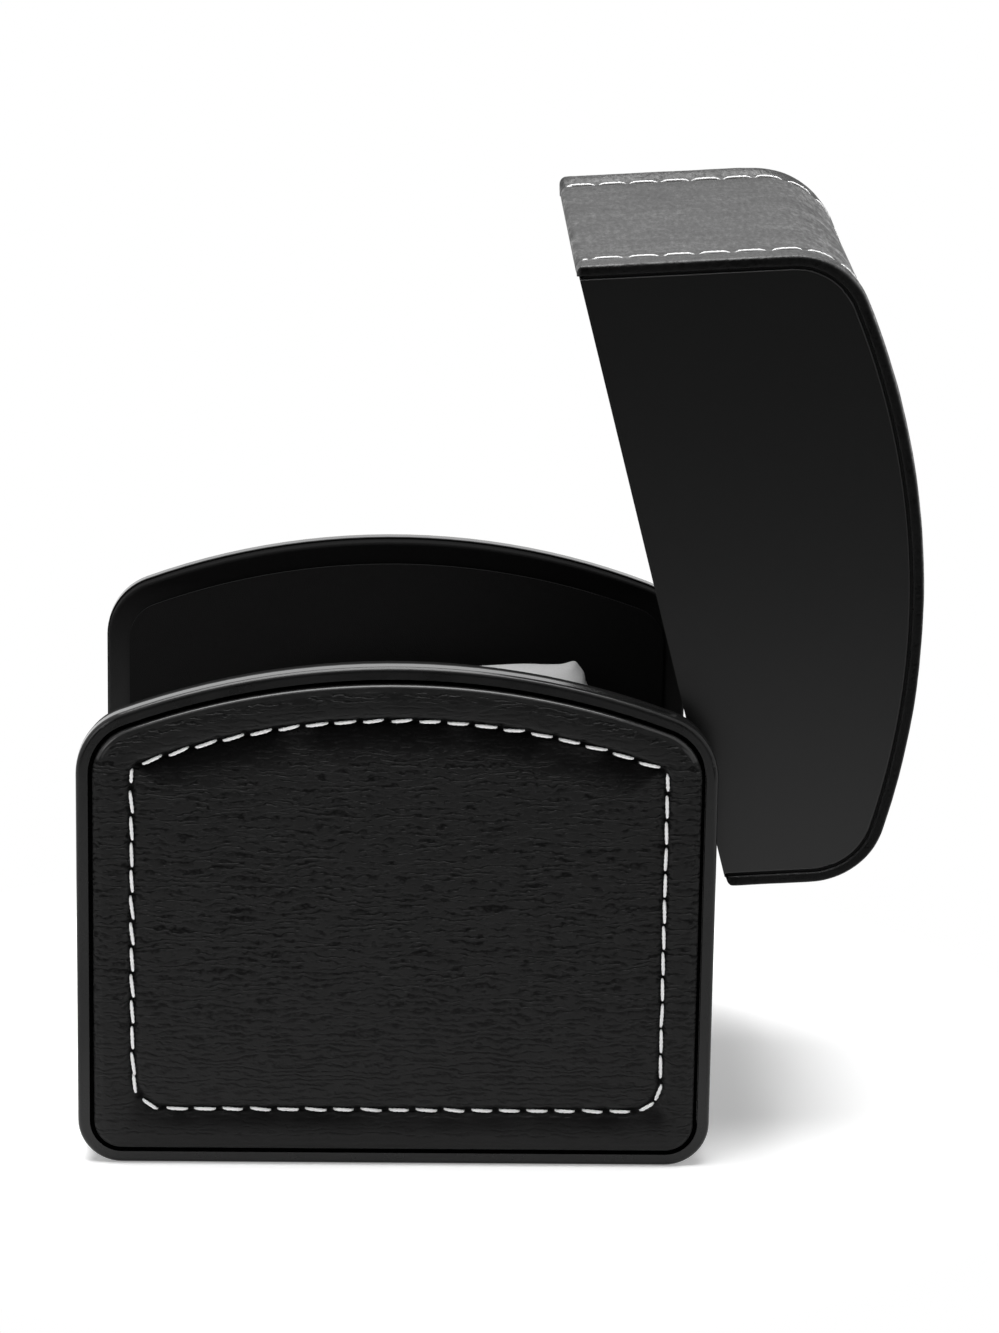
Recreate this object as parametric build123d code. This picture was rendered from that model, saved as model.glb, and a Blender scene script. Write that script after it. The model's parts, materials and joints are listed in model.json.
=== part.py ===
from build123d import *
import math
import os

# Watch box. Two arched cheeks carry a tub, and a deep lid flips back between them.
# Millimetres, +Z up. X runs across the box, Y from the front to the hinge.
# The origin is the middle of the footprint, on the surface that the box stands on.
# The lid is drawn closed and then turned open about its pin, because it rests open.

# Case
case_depth = 100.0
case_width = 90.0
case_height = 81.6
arch_radius = 123.0
shoulder_radius = 10.5
foot_radius = 7.0

# Cheeks: a moulded shell with a pocket, a covered panel on its inner side, and a flocked card
shell_floor = 0.9
rim_width = 1.9
rim_round = 0.8
panel_thickness = 2.7
panel_step = 0.3
panel_round = 0.5
card_thickness = 0.5

# Pads in the pockets of the cheeks
pad_groove = 0.7
pad_sink = 0.2
pad_board_thickness = 0.7
pad_foam_thickness = 0.6
pad_leather_thickness = 0.6
pad_edge_round = 0.5
stitch_inset = 5.7
stitch_lift = 0.8
stitch_corner_top = 1.6
stitch_corner_foot = 5.0
stitch_channel_width = 1.3
stitch_channel_depth = 0.2

# Tub
felt_thickness = 1.0
felt_margin = 4.0
floor_thickness = 3.0
wall_board = 2.4
wall_leather = 0.8
wall_fold_round = 0.5
wall_lining = 0.8
side_board_thickness = 4.0
lining_gap = 0.1

# Parting plane, where the lid meets the tub
parting_tilt = 11.0
parting_rear_height = 49.17
parting_gap = 0.4

# Lid
lid_proud = 0.2
lid_side_gap = 0.5
lid_shoulder_radius = 12.2
lid_board = 2.4
lid_leather_thickness = 0.8
lid_leather_round = 0.6
lid_fold_thickness = 0.5
lid_rim_width = 1.65
lid_rim_groove = 0.45
lid_plate_thickness = 2.2
lid_plate_sink = 0.2
lid_plate_round = 0.3
lid_lining_thickness = 0.8
lid_edge_wrap = 0.6

# Hinge
open_angle = 86.4
pin_inset = 1.3
pin_drop = 3.1
pin_radius = 0.8
pin_clearance = 0.05
pin_head_radius = 1.3
pin_head_thickness = 0.5
knuckle_radius = 1.6
knuckle_gap = 0.25
hinge_width = 36.0
middle_knuckle = 17.6
leaf_thickness = 0.7
base_leaf_height = 11.0
lid_leaf_height = 12.6
leaf_clearance = 0.05
notch_gap = 0.9
stop_reach = 2.45
stop_gap = 0.03

# Screws
hinge_screw_radius = 0.65
hinge_screw_head = 1.3
hinge_screw_spacing = 24.0
hinge_screw_depth = 1.2
cheek_screw_radius = 1.2
cheek_screw_head = 2.3
cheek_screw_sink = 1.3
cheek_screw_bite = 3.2
cheek_screw_slot = 0.6
screw_clearance = 0.03
screw_column = 32.0
screw_row_low = 11.0
screw_row_high = 26.0

# Pillow and the block that it rests on
pillow_side_gap = 0.5
room_in_front = 24.0
room_behind = 12.0
watch_room = 13.6
pillow_height = 37.0
pillow_corner = 9.0
pillow_end_corner = 2.2
pillow_end_drop = 1.8
pillow_crown = 3.0
cover_thickness = 0.9
rest_margin = 4.0
rest_overlap = 2.0
rest_clearance = 0.3

# Worked out from the sizes above
half_depth = case_depth / 2
half_width = case_width / 2
pad_stack = pad_board_thickness + pad_foam_thickness + pad_leather_thickness
pocket_depth = pad_stack + pad_sink
shell_thickness = shell_floor + pocket_depth
panel_inner = half_width - shell_thickness - panel_thickness
cheek_inner = panel_inner - card_thickness
pocket_floor = half_width - pocket_depth
pad_inset = rim_width + pad_groove
tub_inner = cheek_inner - side_board_thickness
floor_top = felt_thickness + floor_thickness
board_outer = half_depth - wall_leather
board_inner = board_outer - wall_board
lining_inner = board_inner - wall_lining
card_inset = half_depth - lining_inner
tilt = math.radians(parting_tilt)
pivot_y = half_depth - pin_inset
bead_radius = pin_drop - parting_gap


def parting_height(y, lift=0.0):
    """Height of the parting plane over the place y, moved square to itself by lift."""
    return parting_rear_height - (half_depth - y) * math.tan(tilt) + lift / math.cos(tilt)


pivot_z = parting_height(pivot_y, -pin_drop)
pin_axis = Axis((0, pivot_y, pivot_z), (1, 0, 0))
lid_half = cheek_inner - lid_side_gap
lid_depth = case_depth + 2 * lid_proud
plate_outer = lid_half - lid_plate_sink
plate_inner = plate_outer - lid_plate_thickness
plate_inset = lid_rim_width + lid_rim_groove
shell_outer_inset = lid_leather_thickness
shell_inner_inset = lid_leather_thickness + lid_board
lining_inner_inset = shell_inner_inset + lid_lining_thickness
pillow_half = tub_inner - wall_lining - pillow_side_gap
pillow_front = room_in_front - lining_inner
pillow_rear = lining_inner - room_behind
pillow_depth = pillow_rear - pillow_front
pillow_middle = (pillow_rear + pillow_front) / 2
pillow_top = case_height - lining_inner_inset - watch_room


# Outlines in the Y-Z plane
def arched_face(depth, shoulder, foot, inset, lift=0.0):
    """The arched outline of a cheek or of the closed lid, drawn in by inset, its foot raised by lift."""
    half = depth / 2 - inset
    low = inset + lift
    top = case_height - inset
    arch = arch_radius - inset
    centre = case_height - arch_radius
    across = half - shoulder
    shoulder_z = centre + math.sqrt((arch - shoulder) ** 2 - across ** 2)
    lean = math.atan2(across, shoulder_z - centre)
    meet = (arch * math.sin(lean), centre + arch * math.cos(lean))
    turn = (math.pi / 2 + lean) / 2
    mid = (across + shoulder * math.sin(turn), shoulder_z + shoulder * math.cos(turn))
    foot_mid = foot * (1 - math.sqrt(0.5))
    edges = [
        Line((0, foot - half, low), (0, half - foot, low)),
        ThreePointArc((0, half - foot, low), (0, half - foot_mid, low + foot_mid), (0, half, low + foot)),
        Line((0, half, low + foot), (0, half, shoulder_z)),
        ThreePointArc((0, half, shoulder_z), (0, *mid), (0, *meet)),
        ThreePointArc((0, *meet), (0, 0, top), (0, -meet[0], meet[1])),
        ThreePointArc((0, -meet[0], meet[1]), (0, -mid[0], mid[1]), (0, -half, shoulder_z)),
        Line((0, -half, shoulder_z), (0, -half, low + foot)),
        ThreePointArc((0, -half, low + foot), (0, foot_mid - half, low + foot_mid), (0, foot - half, low)),
    ]
    return Face(Wire(edges))


def cheek_face(inset):
    return arched_face(case_depth, shoulder_radius - inset, foot_radius - inset, inset)


def lid_face(inset):
    return arched_face(lid_depth, lid_shoulder_radius - inset, foot_radius - inset, inset)


def slab(face, x_low, x_high):
    """A face of the Y-Z plane as a plate from x_low to x_high."""
    return Pos(x_low, 0, 0) * extrude(face, x_high - x_low, dir=(1, 0, 0))


def block(x_low, x_high, y_low, y_high, z_low, z_high):
    size = (x_high - x_low, y_high - y_low, z_high - z_low)
    centre = ((x_low + x_high) / 2, (y_low + y_high) / 2, (z_low + z_high) / 2)
    return Pos(*centre) * Box(*size)


def above_parting(lift):
    """Everything over the parting plane, wide enough to cut any piece."""
    far = case_depth
    top = 2 * case_height
    corners = [(0, -far, parting_height(-far, lift)), (0, far, parting_height(far, lift))]
    corners += [(0, far, top), (0, -far, top)]
    return slab(Face(Wire.make_polygon(corners)), -case_width, case_width)


def mirrored(shape):
    return mirror(shape, about=Plane.YZ)


def cylinder_x(radius, x_low, x_high, y, z):
    return Pos((x_low + x_high) / 2, y, z) * Rot(0, 90, 0) * Cylinder(radius, x_high - x_low)


def opened(shape):
    """A piece of the closed lid, turned back about the pin to its place at rest."""
    return shape.rotate(pin_axis, -open_angle)


# Cheeks
def screw_places():
    rows = [screw_row_low, screw_row_high]
    return [(side * screw_column, row) for side in (-1, 1) for row in rows]


def cheek_screw(y, z, grow=0.0):
    """A countersunk screw, its head flush with the pocket's floor and its point towards -X."""
    radius = cheek_screw_radius + grow
    head = cheek_screw_head + grow
    tip = cheek_inner - cheek_screw_bite - grow
    shank = cylinder_x(radius, tip, pocket_floor, y, z)
    cone = Cone(radius, head, cheek_screw_sink)
    return shank + Pos(pocket_floor - cheek_screw_sink / 2, y, z) * Rot(0, 90, 0) * cone


def cheek_shell():
    shell = slab(cheek_face(0), half_width - shell_thickness, half_width)
    outer_edges = shell.edges().filter_by_position(Axis.X, half_width - 0.01, half_width + 0.01)
    shell = fillet(outer_edges, rim_round)
    shell -= slab(cheek_face(rim_width), pocket_floor, half_width + 1)
    for y, z in screw_places():
        shell -= cheek_screw(y, z, screw_clearance)
    return shell


def cheek_panel():
    panel = slab(cheek_face(panel_step), panel_inner, panel_inner + panel_thickness)
    inner_edges = panel.edges().filter_by_position(Axis.X, panel_inner - 0.01, panel_inner + 0.01)
    panel = fillet(inner_edges, panel_round)
    for y, z in screw_places():
        panel -= cheek_screw(y, z, screw_clearance)
    return panel


def cheek_lining():
    lining = slab(cheek_face(card_inset), cheek_inner, panel_inner)
    for y, z in screw_places():
        lining -= cheek_screw(y, z, screw_clearance)
    return lining


def cheek_screws():
    screws = []
    for y, z in screw_places():
        screw = cheek_screw(y, z)
        reach = cheek_screw_head * 0.6
        depth = cheek_screw_sink * 0.6
        for across, up in ((reach, cheek_screw_slot / 2), (cheek_screw_slot / 2, reach)):
            screw -= block(pocket_floor - depth, pocket_floor + 1, y - across, y + across, z - up, z + up)
        screws += [screw, mirrored(screw)]
    return Compound(children=screws)


# Pads
def pad_board():
    face = cheek_face(pad_inset + pad_leather_thickness)
    return slab(face, pocket_floor, pocket_floor + pad_board_thickness)


def pad_foam():
    start = pocket_floor + pad_board_thickness
    return slab(cheek_face(pad_inset + pad_leather_thickness), start, start + pad_foam_thickness)


def stitch_face(offset):
    """The outline that the seam follows, moved out of it by offset."""
    inset = pad_inset + stitch_inset - offset
    corners = (stitch_corner_top + offset, stitch_corner_foot + offset)
    return arched_face(case_depth, *corners, inset, stitch_lift)


def pad_leather():
    front = pocket_floor + pad_stack
    leather = slab(cheek_face(pad_inset), pocket_floor, front)
    front_edges = leather.edges().filter_by_position(Axis.X, front - 0.01, front + 0.01)
    leather = fillet(front_edges, pad_edge_round)
    leather -= slab(
        cheek_face(pad_inset + pad_leather_thickness), pocket_floor - 1, front - pad_leather_thickness
    )
    half = stitch_channel_width / 2
    channel = slab(stitch_face(half), front - stitch_channel_depth, front + 1)
    channel -= slab(stitch_face(-half), front - 2 * stitch_channel_depth, front + 2)
    return leather - channel


# Tub
def wall_profile(y_inner, y_outer, radius):
    """Section of the hinge wall: straight up to the pin, then round about it."""
    wall = block(-panel_inner, panel_inner, y_inner, y_outer, felt_thickness, pivot_z)
    bead = cylinder_x(radius, -panel_inner, panel_inner, pivot_y, pivot_z)
    keep = block(-panel_inner, panel_inner, y_inner, y_outer, pivot_z, pivot_z + 2 * radius)
    return wall + (bead & keep)


def hinge_notch():
    """Room in the hinge wall for the knuckles, the stops and the lid's leaf."""
    half = hinge_width / 2 + notch_gap
    low = pivot_z - knuckle_radius - notch_gap
    return block(-half, half, lining_inner - 1, half_depth + 1, low, pivot_z + 2 * pin_drop)


def leaf_back():
    return pivot_y - knuckle_radius + leaf_thickness


def base_leaf_pocket():
    half = hinge_width / 2 + leaf_clearance
    low = pivot_z - base_leaf_height - leaf_clearance
    return block(-half, half, board_inner - 1, leaf_back() + leaf_clearance, low, pivot_z)


def rear_board():
    board = wall_profile(board_inner, board_outer, bead_radius - wall_leather)
    board -= hinge_notch()
    board -= base_leaf_pocket()
    for screw in base_screw_list(screw_clearance):
        board -= screw
    return board


def rear_leather():
    skin = wall_profile(board_inner, half_depth, bead_radius)
    wrap = cylinder_x(bead_radius, -panel_inner, panel_inner, pivot_y, pivot_z)
    wrap &= block(-panel_inner, panel_inner, lining_inner, half_depth, pivot_z, pivot_z + 2 * bead_radius)
    skin += wrap
    skin -= wall_profile(board_inner, board_outer, bead_radius - wall_leather)
    return skin - hinge_notch()


def rear_lining():
    lining = block(-tub_inner, tub_inner, lining_inner, board_inner, floor_top, pivot_z - lining_gap)
    return lining - hinge_notch()


def under_parting(shape, drop):
    return shape - above_parting(-drop)


def front_board():
    board = block(-panel_inner, panel_inner, -board_outer, -board_inner, felt_thickness, case_height)
    return under_parting(board, parting_gap + wall_leather)


def front_leather():
    skin = block(-panel_inner, panel_inner, -half_depth, -lining_inner, felt_thickness, case_height)
    skin = under_parting(skin, parting_gap)
    skin = fillet(skin.edges().filter_by(Axis.X).sort_by(Axis.Z)[-2:], wall_fold_round)
    inside = block(-panel_inner, panel_inner, -board_outer, 0, 0, case_height)
    return skin - under_parting(inside, parting_gap + wall_leather)


def front_lining():
    lining = block(-tub_inner, tub_inner, -board_inner, -lining_inner, floor_top, case_height)
    return under_parting(lining, parting_gap + wall_leather)


def floor_board():
    return block(-panel_inner, panel_inner, -board_inner, board_inner, felt_thickness, floor_top)


def side_board():
    board = block(tub_inner, cheek_inner, -board_inner, board_inner, floor_top, case_height)
    board = under_parting(board, parting_gap + wall_lining)
    board &= block(0, case_width, -case_depth, case_depth, 0, pivot_z)
    for y, z in screw_places():
        board -= cheek_screw(y, z, screw_clearance)
    return board


def side_lining():
    """Flocked card on the inner face of a side board, folded over its top edge."""
    inner = tub_inner - wall_lining
    card = block(inner, cheek_inner, -lining_inner, lining_inner, floor_top, case_height)
    card = under_parting(card, parting_gap)
    card &= block(0, case_width, -case_depth, case_depth, 0, pivot_z)
    inside = block(tub_inner, case_width, -case_depth, case_depth, 0, case_height)
    return card - under_parting(inside, parting_gap + wall_lining)


def floor_lining():
    half = tub_inner - wall_lining
    return block(-half, half, -lining_inner, lining_inner, floor_top, floor_top + wall_lining)


def base_felt():
    """Felt under the floor, between the cheeks, flush with their feet."""
    half = cheek_inner - felt_margin
    reach = half_depth - felt_margin
    felt = block(-half, half, -reach, reach, 0, felt_thickness)
    return fillet(felt.edges().filter_by(Axis.Z), felt_margin)


# Lid
def lid_ring(outer_inset, inner_inset, x_half):
    ring = slab(lid_face(outer_inset), -x_half, x_half)
    return ring - slab(lid_face(inner_inset), -x_half - 1, x_half + 1)


def lid_leaf_pocket():
    half = hinge_width / 2 + leaf_clearance
    low = pivot_z + 2 * leaf_clearance
    high = pivot_z + lid_leaf_height + leaf_clearance
    front = pivot_y - knuckle_radius - 2 * leaf_clearance
    return block(-half, half, front, leaf_back() + leaf_clearance, low, high)


def lid_plate():
    plate = slab(lid_face(plate_inset), plate_inner, plate_outer)
    plate = fillet(plate.faces().sort_by(Axis.X)[-1].edges(), lid_plate_round)
    return plate & above_parting(0)


def plate_pocket():
    """Rebate in the lid's board that a side plate is glued into."""
    return slab(lid_face(plate_inset), plate_inner, lid_half + 1)


def lid_shell():
    shell = lid_ring(shell_outer_inset, shell_inner_inset, lid_half - lid_fold_thickness)
    shell -= plate_pocket()
    shell -= mirrored(plate_pocket())
    shell &= above_parting(lid_edge_wrap)
    shell -= lid_leaf_pocket()
    for screw in lid_screw_list(screw_clearance):
        shell -= screw
    return shell


def lid_leather():
    skin = lid_ring(0, lid_leather_thickness, lid_half)
    folds = lid_ring(0, lid_rim_width, lid_half)
    folds -= slab(lid_face(0), lid_fold_thickness - lid_half, lid_half - lid_fold_thickness)
    wrap = lid_ring(0, lining_inner_inset, lid_half) - above_parting(lid_edge_wrap)
    wrap -= plate_pocket()
    wrap -= mirrored(plate_pocket())
    leather = (skin + folds + wrap) & above_parting(0)
    outer = slab(lid_face(0), -lid_half, lid_half)
    side_edges = [edge for edge in outer.edges() if abs(edge.center().X) > lid_half / 2]
    leather &= fillet(side_edges, lid_leather_round)
    return leather - lid_leaf_pocket()


def lid_lining():
    lining = lid_ring(shell_inner_inset, lining_inner_inset, plate_inner)
    lining &= above_parting(lid_edge_wrap)
    return lining - lid_leaf_pocket()


def lid_side_lining():
    card = slab(lid_face(lining_inner_inset), plate_inner - lid_lining_thickness, plate_inner)
    return card & above_parting(0)


# Hinge
def knuckle(x_low, x_high):
    return cylinder_x(knuckle_radius, x_low, x_high, pivot_y, pivot_z)


def pin_bore():
    half = hinge_width
    return cylinder_x(pin_radius + pin_clearance, -half, half, pivot_y, pivot_z)


def hinge_screw(x, z, grow=0.0):
    """A small countersunk screw, its head flush with a leaf and its point towards +Y."""
    front = pivot_y - knuckle_radius
    radius = hinge_screw_radius + grow
    head = hinge_screw_head + grow
    length = leaf_thickness + hinge_screw_depth + grow
    shank = Pos(x, front + length / 2, z) * Rot(-90, 0, 0) * Cylinder(radius, length)
    cone = Cone(head, radius, leaf_thickness)
    return shank + Pos(x, front + leaf_thickness / 2, z) * Rot(-90, 0, 0) * cone


def base_screw_list(grow=0.0):
    z = pivot_z - (base_leaf_height + knuckle_radius + notch_gap) / 2
    return [hinge_screw(side * hinge_screw_spacing / 2, z, grow) for side in (-1, 1)]


def lid_screw_list(grow=0.0):
    z = pivot_z + (lid_leaf_height + pin_drop) / 2 + lid_edge_wrap
    return [hinge_screw(side * hinge_screw_spacing / 2, z, grow) for side in (-1, 1)]


def hinge_base_leaf():
    """Leaf in the tub's hinge wall, with two knuckles and the stops that the lid's leaf meets."""
    half = hinge_width / 2
    middle = middle_knuckle / 2 + knuckle_gap
    root = knuckle_radius + knuckle_gap
    front = pivot_y - knuckle_radius
    leaf = block(-half, half, front, leaf_back(), pivot_z - base_leaf_height, pivot_z)
    leaf -= block(-middle, middle, front - 1, half_depth, pivot_z - root, pivot_z + 1)
    stop_edge = leaf_back() + stop_gap
    stop_back = pivot_y + knuckle_radius / 2
    for low, high in ((-half, -middle), (middle, half)):
        leaf += knuckle(low, high)
        stop = block(low, high, stop_edge, stop_back, pivot_z + knuckle_radius / 2, pivot_z + stop_reach)
        leaf += opened(stop)
    leaf -= pin_bore()
    for screw in base_screw_list(screw_clearance):
        leaf -= screw
    return leaf


def hinge_lid_leaf():
    half = hinge_width / 2
    middle = middle_knuckle / 2
    root = knuckle_radius + knuckle_gap
    front = pivot_y - knuckle_radius
    leaf = block(-half, half, front, leaf_back(), pivot_z, pivot_z + lid_leaf_height)
    for side in (-1, 1):
        low, high = sorted((side * middle, side * (half + 1)))
        leaf -= block(low, high, front - 1, half_depth, pivot_z - 1, pivot_z + root)
    leaf += knuckle(-middle, middle)
    leaf -= pin_bore()
    for screw in lid_screw_list(screw_clearance):
        leaf -= screw
    return leaf


def hinge_pin():
    half = hinge_width / 2
    pin = cylinder_x(pin_radius, -half - pin_clearance, half + pin_clearance, pivot_y, pivot_z)
    for side in (-1, 1):
        inner = side * (half + pin_clearance)
        low, high = sorted((inner, inner + side * pin_head_thickness))
        pin += cylinder_x(pin_head_radius, low, high, pivot_y, pivot_z)
    return pin


# Pillow
def pillow_section(along, inset):
    """A crowned oblong across the pillow. Along is -1 and 1 at its ends and 0 in its middle."""
    full = 1 - along**2
    half_y = pillow_depth / 2 - pillow_end_drop * (1 - full) - inset
    half_z = pillow_height / 2 - pillow_end_drop * (1 - full) - inset
    corner = pillow_end_corner + (pillow_corner - pillow_end_corner) * full
    crown = pillow_crown * (1 + full) / 2
    flat_y = half_y - corner - crown / 2
    flat_z = half_z - corner - crown
    turn = corner * math.sqrt(0.5)
    x = along * (pillow_half - inset)
    centre_z = pillow_top - pillow_height / 2

    def at(y, z):
        return (x, pillow_middle + y, centre_z + z)

    side_y = flat_y + corner
    side_z = flat_z + corner
    edges = []
    for sy, sz in ((1, 1), (-1, 1), (-1, -1), (1, -1)):
        side = at(sy * side_y, sz * flat_z)
        top = at(sy * flat_y, sz * side_z)
        corner_arc = (side, at(sy * (flat_y + turn), sz * (flat_z + turn)), top)
        if sy * sz > 0:
            edges.append(ThreePointArc(*corner_arc))
            edges.append(ThreePointArc(top, at(0, sz * half_z), at(-sy * flat_y, sz * side_z)))
        else:
            edges.append(ThreePointArc(*reversed(corner_arc)))
            edges.append(ThreePointArc(side, at(sy * half_y, 0), at(sy * side_y, -sz * flat_z)))
    return Face(Wire(edges))


def pillow_body(inset):
    """The stuffed pillow: full in the middle, with its sides drawn in where the ends are sewn."""
    return loft([pillow_section(along, inset) for along in (-1, 0, 1)])


def pillow_rest():
    """Foam block, flocked, with a hollow top that the pillow settles into."""
    half_x = tub_inner - wall_lining - rest_margin
    half_y = pillow_depth / 2 - rest_margin
    low = floor_top + wall_lining
    top = pillow_top - pillow_height + rest_overlap
    rest = block(-half_x, half_x, pillow_middle - half_y, pillow_middle + half_y, low, top)
    rest = fillet(rest.edges().filter_by(Axis.Z), rest_margin)
    return rest - pillow_body(-rest_clearance)


def build():
    cheek_parts = {
        "cheek_shell": cheek_shell(),
        "cheek_panel": cheek_panel(),
        "cheek_lining": cheek_lining(),
        "pad_board": pad_board(),
        "pad_foam": pad_foam(),
        "pad_leather": pad_leather(),
        "side_board": side_board(),
        "side_lining": side_lining(),
    }
    nodes = {}
    for name, shape in cheek_parts.items():
        nodes[name + "_right"] = shape
        nodes[name + "_left"] = mirrored(shape)
    nodes["cheek_screws"] = cheek_screws()
    nodes["floor_board"] = floor_board()
    nodes["front_board"] = front_board()
    nodes["rear_board"] = rear_board()
    nodes["front_leather"] = front_leather()
    nodes["rear_leather"] = rear_leather()
    nodes["front_lining"] = front_lining()
    nodes["rear_lining"] = rear_lining()
    nodes["floor_lining"] = floor_lining()
    nodes["base_felt"] = base_felt()
    nodes["pillow_rest"] = pillow_rest()
    nodes["pillow_core"] = pillow_body(cover_thickness)
    nodes["pillow_cover"] = pillow_body(0) - pillow_body(cover_thickness)
    nodes["hinge_base_leaf"] = hinge_base_leaf()
    nodes["hinge_pin"] = hinge_pin()
    nodes["hinge_base_screws"] = Compound(children=base_screw_list())
    nodes["lid_shell"] = opened(lid_shell())
    nodes["lid_leather"] = opened(lid_leather())
    nodes["lid_lining"] = opened(lid_lining())
    nodes["lid_plate_right"] = opened(lid_plate())
    nodes["lid_plate_left"] = opened(mirrored(lid_plate()))
    nodes["lid_side_lining_right"] = opened(lid_side_lining())
    nodes["lid_side_lining_left"] = opened(mirrored(lid_side_lining()))
    nodes["hinge_lid_leaf"] = opened(hinge_lid_leaf())
    nodes["hinge_lid_screws"] = opened(Compound(children=lid_screw_list()))
    return nodes


os.makedirs("parts", exist_ok=True)
for node_name, node_shape in build().items():
    export_step(node_shape, "parts/" + node_name + ".step")
print("pin at y %.2f z %.2f, lid open %.1f degrees" % (pivot_y, pivot_z, open_angle))
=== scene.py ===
import json
import math
import random
from bisect import bisect_right

import bmesh
import bpy
from mathutils import Matrix, Vector, noise


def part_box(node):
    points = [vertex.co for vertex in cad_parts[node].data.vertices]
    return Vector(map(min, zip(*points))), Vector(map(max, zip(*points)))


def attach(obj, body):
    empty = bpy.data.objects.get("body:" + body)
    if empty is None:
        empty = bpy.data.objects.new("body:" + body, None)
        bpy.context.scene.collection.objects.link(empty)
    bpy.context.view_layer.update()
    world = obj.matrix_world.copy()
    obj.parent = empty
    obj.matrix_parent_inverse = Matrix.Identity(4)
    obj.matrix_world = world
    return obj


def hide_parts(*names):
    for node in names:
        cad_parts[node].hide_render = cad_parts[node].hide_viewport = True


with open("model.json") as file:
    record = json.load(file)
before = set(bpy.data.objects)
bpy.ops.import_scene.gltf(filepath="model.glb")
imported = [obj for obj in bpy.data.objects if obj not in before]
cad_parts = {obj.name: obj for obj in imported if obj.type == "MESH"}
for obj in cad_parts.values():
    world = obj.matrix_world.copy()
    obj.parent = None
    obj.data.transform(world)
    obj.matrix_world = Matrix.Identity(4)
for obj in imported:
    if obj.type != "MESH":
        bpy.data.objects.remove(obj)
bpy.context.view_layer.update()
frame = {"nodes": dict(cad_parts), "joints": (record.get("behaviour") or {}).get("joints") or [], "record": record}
nodes = frame["nodes"]
joint = frame["joints"][0]
mm = 0.001


# Shader maths: one wrapped socket, so that a finish reads as plain expressions
class Signal:
    def __init__(self, finish, socket):
        self.finish = finish
        self.socket = socket

    def __add__(self, other):
        return self.finish.calc("ADD", self, other)

    def __radd__(self, other):
        return self.finish.calc("ADD", other, self)

    def __sub__(self, other):
        return self.finish.calc("SUBTRACT", self, other)

    def __rsub__(self, other):
        return self.finish.calc("SUBTRACT", other, self)

    def __mul__(self, other):
        return self.finish.calc("MULTIPLY", self, other)

    def __rmul__(self, other):
        return self.finish.calc("MULTIPLY", other, self)

    def __truediv__(self, other):
        return self.finish.calc("DIVIDE", self, other)

    def __rtruediv__(self, other):
        return self.finish.calc("DIVIDE", other, self)


class Finish:
    def __init__(self, tree, output):
        self.tree = tree
        self.output = output

    def calc(self, operation, first, second=0.0, clamp=False):
        settings = {"operation": operation, "use_clamp": clamp}
        return self.node("ShaderNodeMath", settings, {0: first, 1: second})

    def node(self, kind, settings, inputs, out=0):
        made = self.tree.nodes.new(kind)
        for key, value in settings.items():
            setattr(made, key, value)
        for key, value in inputs.items():
            self.feed(made.inputs[key], value)
        return Signal(self, made.outputs[out])

    def feed(self, socket, value):
        if isinstance(value, Signal):
            self.tree.links.new(value.socket, socket)
        elif isinstance(value, (tuple, list)) and len(value) == 3 and socket.type == "RGBA":
            socket.default_value = (*value, 1.0)
        else:
            socket.default_value = value

    def place(self, scale=(1, 1, 1)):
        spot = self.node("ShaderNodeTexCoord", {}, {}, "Object")
        return self.node("ShaderNodeMapping", {}, {"Vector": spot, "Scale": scale})

    def grain(self, spot, size, detail=2.0, roughness=0.5):
        values = {"Vector": spot, "Scale": 1 / size, "Detail": detail, "Roughness": roughness}
        return self.node("ShaderNodeTexNoise", {}, values)

    def cells(self, spot, size):
        return self.node("ShaderNodeTexVoronoi", {}, {"Vector": spot, "Scale": 1 / size})

    def spread(self, value, low, high, toLow=0.0, toHigh=1.0):
        values = {0: value, 1: low, 2: high, 3: toLow, 4: toHigh}
        return self.node("ShaderNodeMapRange", {"clamp": True}, values)

    def blendColour(self, share, first, second):
        return self.node("ShaderNodeMix", {"data_type": "RGBA"}, {0: share, 6: first, 7: second}, 2)

    def bump(self, height, depth, under=None):
        values = {"Height": height, "Distance": depth, "Strength": 1.0}
        if under:
            values["Normal"] = under
        return self.node("ShaderNodeBump", {}, values)


def grey(tone):
    return (tone, tone, tone)


def newFinish(name):
    material = bpy.data.materials.new(name)
    material.use_nodes = True
    tree = material.node_tree
    finish = Finish(tree, tree.nodes["Material Output"])
    finish.shader = tree.nodes["Principled BSDF"]
    finish.material = material
    return finish


def setShader(finish, values):
    for key, value in values.items():
        finish.feed(finish.shader.inputs[key], value)
    return finish.material


# Camera, solved from the outlines of the two cheeks and the lid
view = {
    "place": (0.754483, -0.0031857, 0.271168),
    "yaw": -0.026386,
    "pitch": -0.260518,
    "roll": 0.0163364,
    "lens": 128.45,
    "film": 36.0,
}


def addCamera():
    data = bpy.data.cameras.new("camera")
    data.lens = view["lens"]
    data.sensor_width = view["film"]
    data.clip_start = 0.01
    camera = bpy.data.objects.new("camera", data)
    bpy.context.scene.collection.objects.link(camera)
    bpy.context.scene.camera = camera
    turn = Matrix.Rotation(view["yaw"], 3, "Y") @ Matrix.Rotation(view["pitch"], 3, "X")
    turn = turn @ Matrix.Rotation(view["roll"], 3, "Z")
    fromSide = Matrix(((0, 0, 1), (1, 0, 0), (0, 1, 0)))  # looks along -X, with +Y to the right
    camera.matrix_world = Matrix.Translation(view["place"]) @ (fromSide @ turn).to_4x4()


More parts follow.
